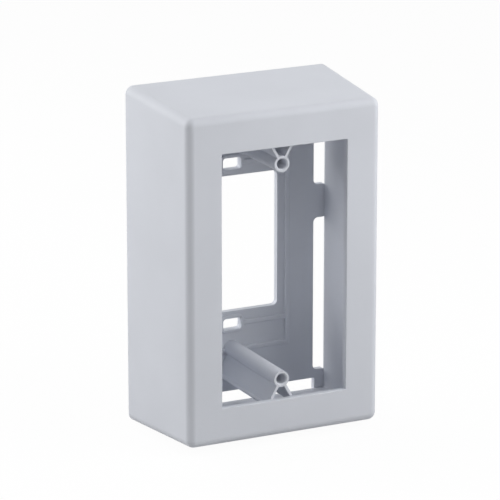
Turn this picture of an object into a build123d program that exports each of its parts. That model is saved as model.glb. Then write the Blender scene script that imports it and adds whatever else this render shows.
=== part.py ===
from build123d import *
import math
import os

# Surface box for one wall device, in two mouldings, in millimetres.
# X runs to the right and Z up. The open front looks towards -Y.
# The origin is the middle of the rear rim, on the plane of the wall that the box is fixed to.

# Cover: front face, depth, and how far each side flares out towards the wall.
face_w = 79.2
face_h = 126.0
depth = 48.0
flare = 2.9
wall_t = 2.4
lip_t = 2.3
corner_r = 3.2
inner_corner_r = 0.8
edge_r = 3.0

# Rebate inside the rear rim that the base plate lies in, and the thin rim left round it.
rim_t = 1.0
rebate_r = corner_r - rim_t

# Window in the front face that the wall device goes through.
window_w = 51.7
window_h = 97.7
window_edge_r = 0.3

# Clearances between the two mouldings: round the plate, in front of it, and in front of the posts.
rim_gap = 0.2
seat_gap = 0.15
post_gap = 0.2

# Base plate, flush with the rear rim, and the gaps at its sides and ends up to the cover's walls.
base_t = 2.5
side_gap = 4.6
end_gap = 4.25
notch_r = 1.9

# Corner legs of the plate, measured in from the cover's walls.
leg_w = 3.85
leg_l = 7.55
leg_root_r = 0.4
leg_end_r = 1.0

# Side tabs, which bridge the gap above the middle of the plate.
tab_z = 12.5
tab_l = 13.2

# Cable opening in the plate.
opening_w = 39.4
opening_h = 54.0
opening_r = 2.0

# Slots for the screws into the wall, the web between each and the opening, and the raised pad round each.
slot_l = 7.8
slot_h = 4.6
slot_r = 1.2
slot_web = 2.6
pad_margin = 1.2

# Rounded beads that stiffen the plate: a tall frame, and a bar across it at each slot.
bead_w = 2.0
bead_h = 1.0
bead_round_r = 0.6
bead_margin = 4.0
bead_end_z = 42.3

# Screw posts for the wall device. Each is a tube with two splayed fins.
screw_spacing = 83.34
post_r = 3.1
post_bore_r = 2.0
post_bore_depth = 25.0
post_mouth_r = 0.4
fin_t = 1.0
fin_l = 11.2
fin_angle = 30.0
fin_foot_r = 0.8

# How far a cutting shape runs past the faces that it opens.
overrun = 1.0

wall_plane = Plane.XZ


def wall_size(out, inward):
    """Width and height of the flared walls at the distance out from the wall, a step inward from the skin."""
    grow = 2 * flare * (1 - out / depth) - 2 * inward
    return face_w + grow, face_h + grow


def at(x, z, out=0.0):
    """Place on the wall plane, moved forward by the distance out."""
    return wall_plane * Pos(x, z, out)


def slot_z():
    """Height of the upper slot's middle above the origin. The lower slot lies as far below it."""
    return opening_h / 2 + slot_web + slot_h / 2


def drafted_block(inward, end, radius):
    """Block that narrows from the wall plane to the distance end, with its four long corners rounded."""
    rear_w, rear_h = wall_size(0, inward)
    inset = flare * end / depth
    middle = (Align.CENTER, Align.MIN, Align.CENTER)
    block = Wedge(rear_w, end, rear_h, inset, inset, rear_w - inset, rear_h - inset, align=middle)
    block = Rot(0, 0, 180) * block
    long_edges = block.edges().group_by(Axis.Y)[1]
    return fillet(long_edges, radius)


def make_cover():
    """Front frame and four flared walls, moulded in one, with a rebate inside the open rear."""
    shell = drafted_block(0, depth, corner_r)
    front_rim = shell.faces().sort_by(Axis.Y)[0].outer_wire().edges()
    shell = fillet(front_rim, edge_r)
    shell -= drafted_block(wall_t, depth - lip_t, inner_corner_r)
    shell -= drafted_block(rim_t, base_t + seat_gap, rebate_r)
    window = at(0, 0, depth - lip_t - overrun) * Rectangle(window_w, window_h)
    shell -= extrude(window, amount=lip_t + 2 * overrun)
    front_face = shell.faces().filter_by(Axis.Y).sort_by(Axis.Y)[0]
    return fillet(front_face.inner_wires()[0].edges(), window_edge_r)


def plate_outline():
    """Plate that reaches into the rebate only at its four corner legs and two side tabs."""
    seat_w, seat_h = wall_size(base_t, rim_t)
    reach_w = seat_w - 2 * rim_gap
    reach_h = seat_h - 2 * rim_gap
    inner_w, inner_h = wall_size(base_t, wall_t)
    plate_x = inner_w / 2 - side_gap
    plate_z = inner_h / 2 - end_gap
    leg_x = inner_w / 2 - leg_w
    leg_z = inner_h / 2 - leg_l
    outline = RectangleRounded(reach_w, reach_h, rebate_r - rim_gap)
    for side in (-1, 1):
        for low, high in [(-leg_z, tab_z - tab_l / 2), (tab_z + tab_l / 2, leg_z)]:
            notch = Rectangle(reach_w - 2 * plate_x, high - low)
            outline -= Pos(side * reach_w / 2, (low + high) / 2) * notch
        outline -= Pos(0, side * reach_h / 2) * Rectangle(2 * leg_x, reach_h - 2 * plate_z)
    beside = [spot for spot in outline.vertices() if abs(spot.Y) < leg_z + notch_r / 2]
    outline = fillet(beside, notch_r)
    for height, radius in ((plate_z, leg_root_r), (reach_h / 2, leg_end_r)):
        inside = [spot for spot in outline.vertices() if math.isclose(abs(spot.X), leg_x)]
        outline = fillet([spot for spot in inside if math.isclose(abs(spot.Y), height)], radius)
    return outline


def plate_beads():
    """Raised lines on the plate: a tall frame, the bars across it and the pads round the slots."""
    bead_x = opening_w / 2 + bead_margin
    lines = Rectangle(2 * bead_x + bead_w, 2 * bead_end_z + bead_w)
    lines -= Rectangle(2 * bead_x - bead_w, 2 * bead_end_z - bead_w)
    for end in (-1, 1):
        lines += Pos(0, end * slot_z()) * Rectangle(2 * bead_x, bead_w)
        pad = RectangleRounded(slot_l + 2 * pad_margin, slot_h + 2 * pad_margin, slot_r + pad_margin)
        lines += Pos(0, end * slot_z()) * pad
    beads = extrude(at(0, 0, base_t) * lines, amount=bead_h)
    top = beads.faces().filter_by(Axis.Y).sort_by(Axis.Y)[0]
    return fillet(top.edges(), bead_round_r)


def screw_post(end):
    """Tube with two fins that splay towards the top or bottom of the box, from the plate to the lip."""
    profile = Circle(post_r)
    for lean in (-1, 1):
        fin = Pos(0, fin_l / 2) * Rectangle(fin_t, fin_l)
        fin += Pos(0, fin_l) * Circle(fin_foot_r)
        profile += Rot(0, 0, lean * fin_angle) * fin
    if end < 0:
        profile = Rot(0, 0, 180) * profile
    post_end = depth - lip_t - post_gap
    post_z = end * screw_spacing / 2
    post = extrude(at(0, post_z, base_t) * profile, amount=post_end - base_t)
    post -= extrude(at(0, post_z, post_end) * Circle(post_bore_r), amount=-post_bore_depth)
    mouth = post.edges().filter_by(GeomType.CIRCLE).group_by(Axis.Y)[0]
    mouth = [edge for edge in mouth if math.isclose(edge.radius, post_bore_r)]
    return chamfer(mouth, post_mouth_r)


def make_base():
    """Plate with its cable opening, wall slots, beads and the two screw posts."""
    base = extrude(at(0, 0) * plate_outline(), amount=base_t)
    base += plate_beads()
    for end in (-1, 1):
        base += screw_post(end)
    through = base_t + bead_h + 2 * overrun
    opening = at(0, 0, -overrun) * RectangleRounded(opening_w, opening_h, opening_r)
    base -= extrude(opening, amount=through)
    for end in (-1, 1):
        slot = at(0, end * slot_z(), -overrun) * RectangleRounded(slot_l, slot_h, slot_r)
        base -= extrude(slot, amount=through)
    return base


os.makedirs("parts", exist_ok=True)
export_step(make_cover(), "parts/cover.step")
export_step(make_base(), "parts/base_plate.step")
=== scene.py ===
import math

import bpy
from bpy.props import FloatProperty, FloatVectorProperty, PointerProperty
from mathutils import Matrix, Vector


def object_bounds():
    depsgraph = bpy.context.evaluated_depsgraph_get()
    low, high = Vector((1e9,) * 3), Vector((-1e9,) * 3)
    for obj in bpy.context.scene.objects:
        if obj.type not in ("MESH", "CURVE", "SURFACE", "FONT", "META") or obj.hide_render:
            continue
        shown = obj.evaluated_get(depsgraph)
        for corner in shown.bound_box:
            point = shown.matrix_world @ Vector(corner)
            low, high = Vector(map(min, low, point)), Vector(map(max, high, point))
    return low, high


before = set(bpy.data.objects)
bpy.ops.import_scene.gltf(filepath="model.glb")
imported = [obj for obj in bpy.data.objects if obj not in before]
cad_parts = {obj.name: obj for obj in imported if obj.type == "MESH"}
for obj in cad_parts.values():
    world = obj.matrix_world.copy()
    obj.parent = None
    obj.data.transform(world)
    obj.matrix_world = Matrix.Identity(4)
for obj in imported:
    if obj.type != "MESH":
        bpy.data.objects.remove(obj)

bl_info = {
    "name": "Surface Box Studio",
    "version": (1, 0, 0),
    "blender": (4, 5, 0),
    "location": "View3D > Sidebar > Surface Box",
    "description": "Finishes the two mouldings of a wall device box and sets up a pale studio round it",
    "category": "Object",
}

CAD_BOX = [list(corner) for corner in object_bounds()]
MM = 0.001

# Width of the camera's sensor in millimetres.
SENSOR_WIDTH = 36.0

# The plastic's texture. Widths are in grains, and the waves' height is in grain depths. The stretch is how
# many times longer than wide the drag lines are, and the share is how much the specks add to the tone.
PIT_WIDTH = 1.5
DRAG_WIDTH = 3.0
DRAG_STRETCH = 14.0
WAVE_WIDTH = 50.0
WAVE_HEIGHT = 3.0
DRIFT_WIDTH = 90.0
SPECK_WIDTH = 1.4
SPECK_SHARE = 0.25
SHEEN_WIDTH = 14.0

# Range of the tone over which the plastic goes from its darkest to its palest. Both are shares of its colour.
TONE_RANGE = (0.3, 0.7)
DARKEST = 0.975
PALEST = 1.02

# How far the plastic's roughness strays to either side, and its index of refraction.
SHEEN_SPREAD = 0.05
PLASTIC_IOR = 1.5


class SURFBOX_PG_finish(bpy.types.PropertyGroup):
    """Colours and surface texture of the two mouldings."""

    cover_colour: FloatVectorProperty(
        name="Cover colour",
        description="Colour of the cover's plastic",
        subtype="COLOR",
        size=3,
        default=(0.72, 0.743, 0.80),
    )
    base_colour: FloatVectorProperty(
        name="Base colour",
        description="Colour of the base plate's plastic",
        subtype="COLOR",
        size=3,
        default=(0.72, 0.743, 0.80),
    )
    grain_size: FloatProperty(
        name="Grain size",
        description="Width of one grain of the texture that the mould leaves",
        unit="LENGTH",
        default=0.35 * MM,
    )
    grain_depth: FloatProperty(
        name="Grain depth",
        description="Height of the grain",
        unit="LENGTH",
        default=0.014 * MM,
    )
    cover_roughness: FloatProperty(
        name="Cover roughness",
        description="Roughness of the cover, from mirror to chalk",
        subtype="FACTOR",
        default=0.6,
    )
    base_roughness: FloatProperty(
        name="Base roughness",
        description="Roughness of the base plate, from mirror to chalk",
        subtype="FACTOR",
        default=0.62,
    )
    cover_pits: FloatProperty(
        name="Cover pits",
        description="Share of round pits in the cover's grain, which comes from a spark-eroded mould",
        subtype="FACTOR",
        default=0.8,
    )
    base_pits: FloatProperty(
        name="Base pits",
        description="Share of round pits in the base plate's grain",
        subtype="FACTOR",
        default=0.3,
    )
    cover_drag_lines: FloatProperty(
        name="Cover drag lines",
        description="Height of the lines that the mould draws from front to back, as a share of the grain",
        subtype="FACTOR",
        default=0.3,
    )
    base_drag_lines: FloatProperty(
        name="Base drag lines",
        description="Height of the lines that the mould draws along the posts, as a share of the grain",
        subtype="FACTOR",
        default=0.9,
    )


class SURFBOX_PG_studio(bpy.types.PropertyGroup):
    """Camera, lamps and floor."""

    azimuth: FloatProperty(
        name="Camera azimuth",
        description="Turn of the camera round the box, from straight in front",
        subtype="ANGLE",
        default=math.radians(-26.317),
    )
    elevation: FloatProperty(
        name="Camera elevation",
        description="Angle of the camera above the horizontal",
        subtype="ANGLE",
        default=math.radians(16.251),
    )
    distance: FloatProperty(
        name="Camera distance",
        description="Distance from the camera to the point that it looks at",
        unit="LENGTH",
        default=1351.3 * MM,
    )
    aim: FloatVectorProperty(
        name="Camera aim",
        description="Point that the camera looks at",
        subtype="TRANSLATION",
        size=3,
        default=(9.28 * MM, 0.0, -4.35 * MM),
    )
    lens: FloatProperty(
        name="Lens",
        description="Focal length in millimetres on a 36 mm wide sensor",
        unit="CAMERA",
        default=253.14,
    )
    floor_size: FloatProperty(
        name="Floor size",
        description="Length of each side of the floor",
        unit="LENGTH",
        default=4.0,
    )
    floor_shadow: FloatProperty(
        name="Floor shadow",
        description="Share of the floor's brightness that a shadow can take away",
        subtype="FACTOR",
        default=0.04,
    )
    floor_seen_grey: FloatProperty(
        name="Floor grey seen",
        description="Grey of the floor's matt part where the camera sees it",
        subtype="FACTOR",
        default=1.0,
    )
    floor_lit_grey: FloatProperty(
        name="Floor grey for light",
        description="Grey of the floor's matt part where it throws light onto the box",
        subtype="FACTOR",
        default=0.5,
    )
    ambient: FloatProperty(
        name="Ambient light",
        description="Strength of the even light from all round",
        default=0.31,
    )
    lamp_size: FloatVectorProperty(
        name="Lamp size",
        description="Width and height of every lamp",
        unit="LENGTH",
        size=2,
        default=(0.4, 0.5),
    )


# Each lamp's place and power: degrees round the box from its right side towards its back, degrees up,
# distance from the box in metres, and watts.
LAMPS = {
    "lamp_back": (105, 10, 1.3, 3.6),
    "lamp_back_high": (105, 30, 0.55, 0.55),
    "lamp_back_left": (151, 10, 0.55, 1.52),
    "lamp_left_high": (150, 45, 0.55, 0.24),
    "lamp_top": (90, 70, 1.3, 0.4),
    "lamp_right": (330, 25, 0.55, 1.0),
    "lamp_front_right": (300, 25, 0.55, 0.68),
    "lamp_front_high": (300, 45, 0.55, 0.45),
}


def new_group(name, inputs, outputs):
    """Empty shader node group with the given sockets, and its two end nodes."""
    group = bpy.data.node_groups.new(name, "ShaderNodeTree")
    for label, kind in inputs:
        group.interface.new_socket(label, in_out="INPUT", socket_type=kind)
    for label, kind in outputs:
        group.interface.new_socket(label, in_out="OUTPUT", socket_type=kind)
    return group, group.nodes.new("NodeGroupInput"), group.nodes.new("NodeGroupOutput")


def math_node(tree, operation, first, second):
    """Math node whose inputs are numbers or sockets. Returns its output."""
    node = tree.nodes.new("ShaderNodeMath")
    node.operation = operation
    for index, value in enumerate((first, second)):
        if isinstance(value, (int, float)):
            node.inputs[index].default_value = value
        else:
            tree.links.new(value, node.inputs[index])
    return node.outputs[0]


def noise_node(tree, vector, scale, detail, roughness):
    """Noise texture on the given vector. Returns its value, from 0 to 1."""
    node = tree.nodes.new("ShaderNodeTexNoise")
    node.inputs["Detail"].default_value = detail
    node.inputs["Roughness"].default_value = roughness
    tree.links.new(vector, node.inputs["Vector"])
    tree.links.new(scale, node.inputs["Scale"])
    return node.outputs[0]


def pit_node(tree, vector, scale):
    """Cells on the given vector. Returns the distance to each cell's middle, which makes a round pit."""
    node = tree.nodes.new("ShaderNodeTexVoronoi")
    node.feature = "F1"
    tree.links.new(vector, node.inputs["Vector"])
    tree.links.new(scale, node.inputs["Scale"])
    return node.outputs["Distance"]


def drawn_out(tree, vector, factor):
    """The vector with its depth divided by a factor, so that a pattern on it runs long from front to back."""
    node = tree.nodes.new("ShaderNodeMapping")
    node.inputs["Scale"].default_value = (1.0, 1.0 / factor, 1.0)
    tree.links.new(vector, node.inputs["Vector"])
    return node.outputs["Vector"]


def moulded_surface_group():
    """Surface that a mould leaves: spark-eroded grain, drag lines, long soft waves and an uneven tone.

    The height is fine noise, plus round pits, plus noise drawn out along the way that the piece leaves
    its mould, plus wide noise for the waves. The tone is slow noise with fine specks in it.
    """
    name = "moulded_surface"
    if name in bpy.data.node_groups:
        return bpy.data.node_groups[name]
    group, start, end = new_group(
        name,
        [
            ("Vector", "NodeSocketVector"),
            ("Grain Size", "NodeSocketFloat"),
            ("Pits", "NodeSocketFloat"),
            ("Drag Lines", "NodeSocketFloat"),
        ],
        [("Height", "NodeSocketFloat"), ("Tone", "NodeSocketFloat"), ("Sheen Break", "NodeSocketFloat")],
    )
    place = start.outputs["Vector"]
    per_metre = math_node(group, "DIVIDE", 1.0, start.outputs["Grain Size"])

    def wide(grains):
        """Scale at which a texture's features are the given number of grains wide."""
        return math_node(group, "DIVIDE", per_metre, grains)

    height = noise_node(group, place, per_metre, detail=3.0, roughness=0.55)
    pits = pit_node(group, place, wide(PIT_WIDTH))
    long_place = drawn_out(group, place, DRAG_STRETCH)
    drag = noise_node(group, long_place, wide(DRAG_WIDTH), detail=2.0, roughness=0.5)
    waves = noise_node(group, place, wide(WAVE_WIDTH), detail=1.0, roughness=0.4)
    for layer, share in (
        (pits, start.outputs["Pits"]),
        (drag, start.outputs["Drag Lines"]),
        (waves, WAVE_HEIGHT),
    ):
        height = math_node(group, "ADD", height, math_node(group, "MULTIPLY", layer, share))
    group.links.new(height, end.inputs["Height"])

    drift = noise_node(group, place, wide(DRIFT_WIDTH), detail=2.0, roughness=0.5)
    specks = noise_node(group, place, wide(SPECK_WIDTH), detail=2.0, roughness=0.6)
    specks = math_node(group, "MULTIPLY", math_node(group, "SUBTRACT", specks, 0.5), SPECK_SHARE)
    group.links.new(math_node(group, "ADD", drift, specks), end.inputs["Tone"])

    sheen = noise_node(group, place, wide(SHEEN_WIDTH), detail=3.0, roughness=0.6)
    group.links.new(sheen, end.inputs["Sheen Break"])
    return group


def plastic_material(name, colour, roughness, grain_size, grain_depth, pits, drag_lines):
    """Cool white moulding plastic: satin, with mould grain, and a tone and sheen that drift a little."""
    material = bpy.data.materials.new(name)
    material.use_nodes = True
    tree = material.node_tree
    shader = tree.nodes["Principled BSDF"]
    shader.inputs["IOR"].default_value = PLASTIC_IOR
    place = tree.nodes.new("ShaderNodeTexCoord").outputs["Object"]
    surface = tree.nodes.new("ShaderNodeGroup")
    surface.node_tree = moulded_surface_group()
    surface.inputs["Grain Size"].default_value = grain_size
    surface.inputs["Pits"].default_value = pits
    surface.inputs["Drag Lines"].default_value = drag_lines
    tree.links.new(place, surface.inputs["Vector"])

    tint = tree.nodes.new("ShaderNodeValToRGB")
    for stop, position, share in zip(tint.color_ramp.elements, TONE_RANGE, (DARKEST, PALEST)):
        stop.position = position
        stop.color = (*(min(value * share, 1.0) for value in colour), 1.0)
    tree.links.new(surface.outputs["Tone"], tint.inputs["Fac"])
    tree.links.new(tint.outputs["Color"], shader.inputs["Base Color"])

    gloss = tree.nodes.new("ShaderNodeMapRange")
    gloss.inputs["To Min"].default_value = roughness - SHEEN_SPREAD
    gloss.inputs["To Max"].default_value = roughness + SHEEN_SPREAD
    tree.links.new(surface.outputs["Sheen Break"], gloss.inputs["Value"])
    tree.links.new(gloss.outputs["Result"], shader.inputs["Roughness"])

    bump = tree.nodes.new("ShaderNodeBump")
    bump.inputs["Strength"].default_value = 1.0
    bump.inputs["Distance"].default_value = grain_depth
    tree.links.new(surface.outputs["Height"], bump.inputs["Height"])
    tree.links.new(bump.outputs["Normal"], shader.inputs["Normal"])
    return material


def dress(node, material):
    """Gives a CAD node this one material in place of its own."""
    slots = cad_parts[node].data.materials
    slots.clear()
    slots.append(material)


def camera_direction(azimuth, elevation):
    """Unit vector that the camera looks along. Azimuth 0 looks along +Y, and elevation is from above."""
    level = math.cos(elevation)
    return Vector((-math.sin(azimuth) * level, math.cos(azimuth) * level, -math.sin(elevation)))


def lamp_direction(turn, rise):
    """Unit vector from the box to a lamp, at degrees round from the right side and degrees up."""
    level = math.cos(math.radians(rise))
    around = math.radians(turn)
    return Vector((level * math.cos(around), level * math.sin(around), math.sin(math.radians(rise))))


def aimed(place, target):
    """Matrix of a camera or lamp at a place, with its -Z axis on the target."""
    turn = (Vector(target) - Vector(place)).to_track_quat("-Z", "Y")
    return Matrix.LocRotScale(Vector(place), turn, None)


def link(thing):
    """Puts a new object into the scene."""
    bpy.context.scene.collection.objects.link(thing)
    return thing


def any_ray(tree, *kinds):
    """Mask that is 1 for the given kinds of ray and 0 for the others."""
    path = tree.nodes.new("ShaderNodeLightPath")
    mask = path.outputs[kinds[0]]
    for kind in kinds[1:]:
        mask = math_node(tree, "MAXIMUM", mask, path.outputs[kind])
    return mask


def floor_material(shadow_share, seen_grey, lit_grey):
    """White floor: the camera sees near white with a share of real light in it, which holds the shadow.

    Its matt part is pale where the camera sees it, and darker where it lights the box.
    """
    material = bpy.data.materials.new("floor_white")
    material.use_nodes = True
    tree = material.node_tree
    tree.nodes.remove(tree.nodes["Principled BSDF"])
    camera_sees = any_ray(tree, "Is Camera Ray")
    grey = tree.nodes.new("ShaderNodeMapRange")
    grey.inputs["To Min"].default_value = lit_grey
    grey.inputs["To Max"].default_value = seen_grey
    tree.links.new(camera_sees, grey.inputs["Value"])
    matt = tree.nodes.new("ShaderNodeBsdfDiffuse")
    tree.links.new(grey.outputs["Result"], matt.inputs["Color"])
    white = tree.nodes.new("ShaderNodeEmission")
    white.inputs["Strength"].default_value = 1.0
    white_seen = any_ray(tree, "Is Camera Ray", "Is Glossy Ray", "Is Transmission Ray")
    mix = tree.nodes.new("ShaderNodeMixShader")
    tree.links.new(math_node(tree, "MULTIPLY", white_seen, 1.0 - shadow_share), mix.inputs["Fac"])
    tree.links.new(matt.outputs[0], mix.inputs[1])
    tree.links.new(white.outputs[0], mix.inputs[2])
    tree.links.new(mix.outputs[0], tree.nodes["Material Output"].inputs["Surface"])
    return material


def white_world(ambient):
    """World that is white to the camera and in reflections, and an even ambient light elsewhere."""
    world = bpy.data.worlds.new("studio_world")
    world.use_nodes = True
    tree = world.node_tree
    background = tree.nodes["Background"]
    background.inputs["Color"].default_value = (1.0, 1.0, 1.0, 1.0)
    seen = any_ray(tree, "Is Camera Ray", "Is Glossy Ray", "Is Transmission Ray")
    strength = tree.nodes.new("ShaderNodeMapRange")
    strength.inputs["To Min"].default_value = ambient
    strength.inputs["To Max"].default_value = 1.0
    tree.links.new(seen, strength.inputs["Value"])
    tree.links.new(strength.outputs["Result"], background.inputs["Strength"])
    bpy.context.scene.world = world


def make_floor(studio):
    """Square floor under the box, level with the lowest point of the CAD box."""
    half = studio.floor_size / 2
    low = CAD_BOX[0][2]
    mesh = bpy.data.meshes.new("floor")
    corners = [(-half, -half, low), (half, -half, low), (half, half, low), (-half, half, low)]
    mesh.from_pydata(corners, [], [(0, 1, 2, 3)])
    mesh.materials.append(floor_material(studio.floor_shadow, studio.floor_seen_grey, studio.floor_lit_grey))
    link(bpy.data.objects.new("floor", mesh))


def make_lamps(studio):
    """Soft rectangular lamps round the middle of the box. The camera doesn't see them."""
    middle = (Vector(CAD_BOX[0]) + Vector(CAD_BOX[1])) / 2
    for name, (turn, rise, distance, power) in LAMPS.items():
        data = bpy.data.lights.new(name, "AREA")
        data.shape = "RECTANGLE"
        data.size, data.size_y = studio.lamp_size
        data.energy = power
        lamp = link(bpy.data.objects.new(name, data))
        lamp.matrix_world = aimed(middle + lamp_direction(turn, rise) * distance, middle)
        lamp.visible_camera = False


def make_camera(studio):
    """Camera at the photograph's angle and distance."""
    data = bpy.data.cameras.new("camera")
    data.lens = studio.lens
    data.sensor_width = SENSOR_WIDTH
    camera = link(bpy.data.objects.new("camera", data))
    place = Vector(studio.aim) - camera_direction(studio.azimuth, studio.elevation) * studio.distance
    camera.matrix_world = aimed(place, studio.aim)
    bpy.context.scene.camera = camera


class SURFBOX_OT_finish_cover(bpy.types.Operator):
    """Give the cover its moulded plastic"""

    bl_idname = "surfbox.finish_cover"
    bl_label = "Finish Cover"

    def execute(self, context):
        finish = context.scene.surfbox_finish
        dress("cover", plastic_material(
            "cover_plastic", finish.cover_colour, finish.cover_roughness,
            finish.grain_size, finish.grain_depth, finish.cover_pits, finish.cover_drag_lines,
        ))
        return {"FINISHED"}


class SURFBOX_OT_finish_base(bpy.types.Operator):
    """Give the base plate its moulded plastic"""

    bl_idname = "surfbox.finish_base"
    bl_label = "Finish Base Plate"

    def execute(self, context):
        finish = context.scene.surfbox_finish
        dress("base_plate", plastic_material(
            "base_plastic", finish.base_colour, finish.base_roughness,
            finish.grain_size, finish.grain_depth, finish.base_pits, finish.base_drag_lines,
        ))
        return {"FINISHED"}


class SURFBOX_OT_stage(bpy.types.Operator):
    """Set up the floor, the lamps, the world and the camera"""

    bl_idname = "surfbox.stage"
    bl_label = "Stage"

    def execute(self, context):
        studio = context.scene.surfbox_studio
        make_floor(studio)
        make_lamps(studio)
        white_world(studio.ambient)
        make_camera(studio)
        context.scene.view_settings.view_transform = "Standard"
        return {"FINISHED"}


class SURFBOX_PT_panel(bpy.types.Panel):
    """Sidebar panel with the box's finishes and its studio"""

    bl_label = "Surface Box"
    bl_idname = "SURFBOX_PT_panel"
    bl_space_type = "VIEW_3D"
    bl_region_type = "UI"
    bl_category = "Surface Box"

    def draw(self, context):
        layout = self.layout
        for group in (context.scene.surfbox_finish, context.scene.surfbox_studio):
            for key in group.bl_rna.properties.keys():
                if key not in {"rna_type", "name"}:
                    layout.prop(group, key)
        for step in STEPS:
            layout.operator(step.bl_idname)


STEPS = (SURFBOX_OT_finish_cover, SURFBOX_OT_finish_base, SURFBOX_OT_stage)
CLASSES = (SURFBOX_PG_finish, SURFBOX_PG_studio, *STEPS, SURFBOX_PT_panel)


def register():
    for cls in CLASSES:
        bpy.utils.register_class(cls)
    bpy.types.Scene.surfbox_finish = PointerProperty(type=SURFBOX_PG_finish)
    bpy.types.Scene.surfbox_studio = PointerProperty(type=SURFBOX_PG_studio)


def unregister():
    del bpy.types.Scene.surfbox_studio
    del bpy.types.Scene.surfbox_finish
    for cls in reversed(CLASSES):
        bpy.utils.unregister_class(cls)


def main():
    register()
    bpy.ops.surfbox.finish_cover()
    bpy.ops.surfbox.finish_base()
    bpy.ops.surfbox.stage()


if __name__ == "__main__":
    main()
